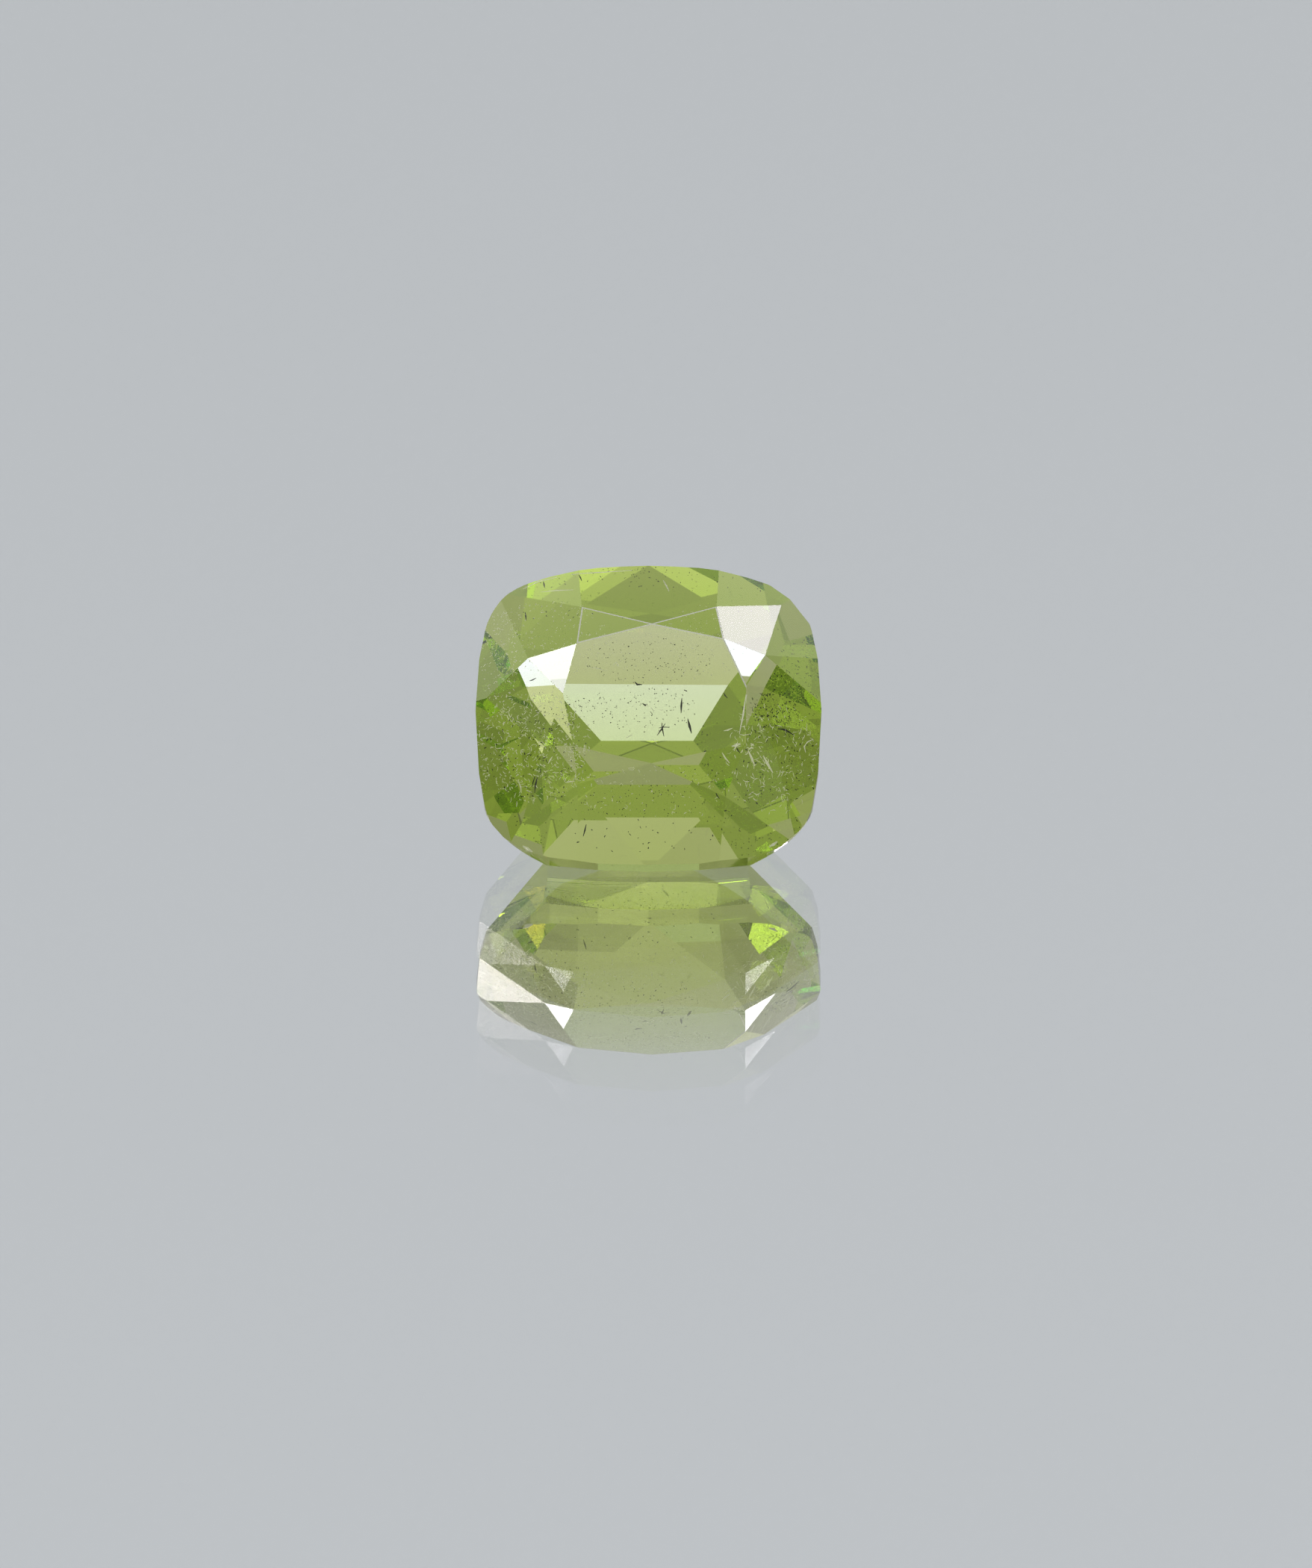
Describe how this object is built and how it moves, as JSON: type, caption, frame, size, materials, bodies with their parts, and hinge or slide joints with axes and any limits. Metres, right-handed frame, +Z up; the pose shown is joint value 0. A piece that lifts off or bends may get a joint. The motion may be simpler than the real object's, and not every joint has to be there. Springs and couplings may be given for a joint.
{
  "type": "cushion-cut peridot",
  "caption": "Faceted yellow-green gemstone with a rounded cushion outline, a brilliant crown and a step-cut keeled underside.",
  "frame": {"origin": "middle of the stone's footprint box, on the surface it rests on", "axes": "+X along the long side of the girdle, +Z up, with the table facing -Y and up"},
  "size_m": [0.009, 0.0062, 0.0061],
  "materials": {
    "peridot_crystal": "polished flat facets, clear yellow-green crystal with fine inclusions"
  },
  "bodies": {
    "root": {"peridot": "peridot_crystal"}
  },
  "joints": []
}
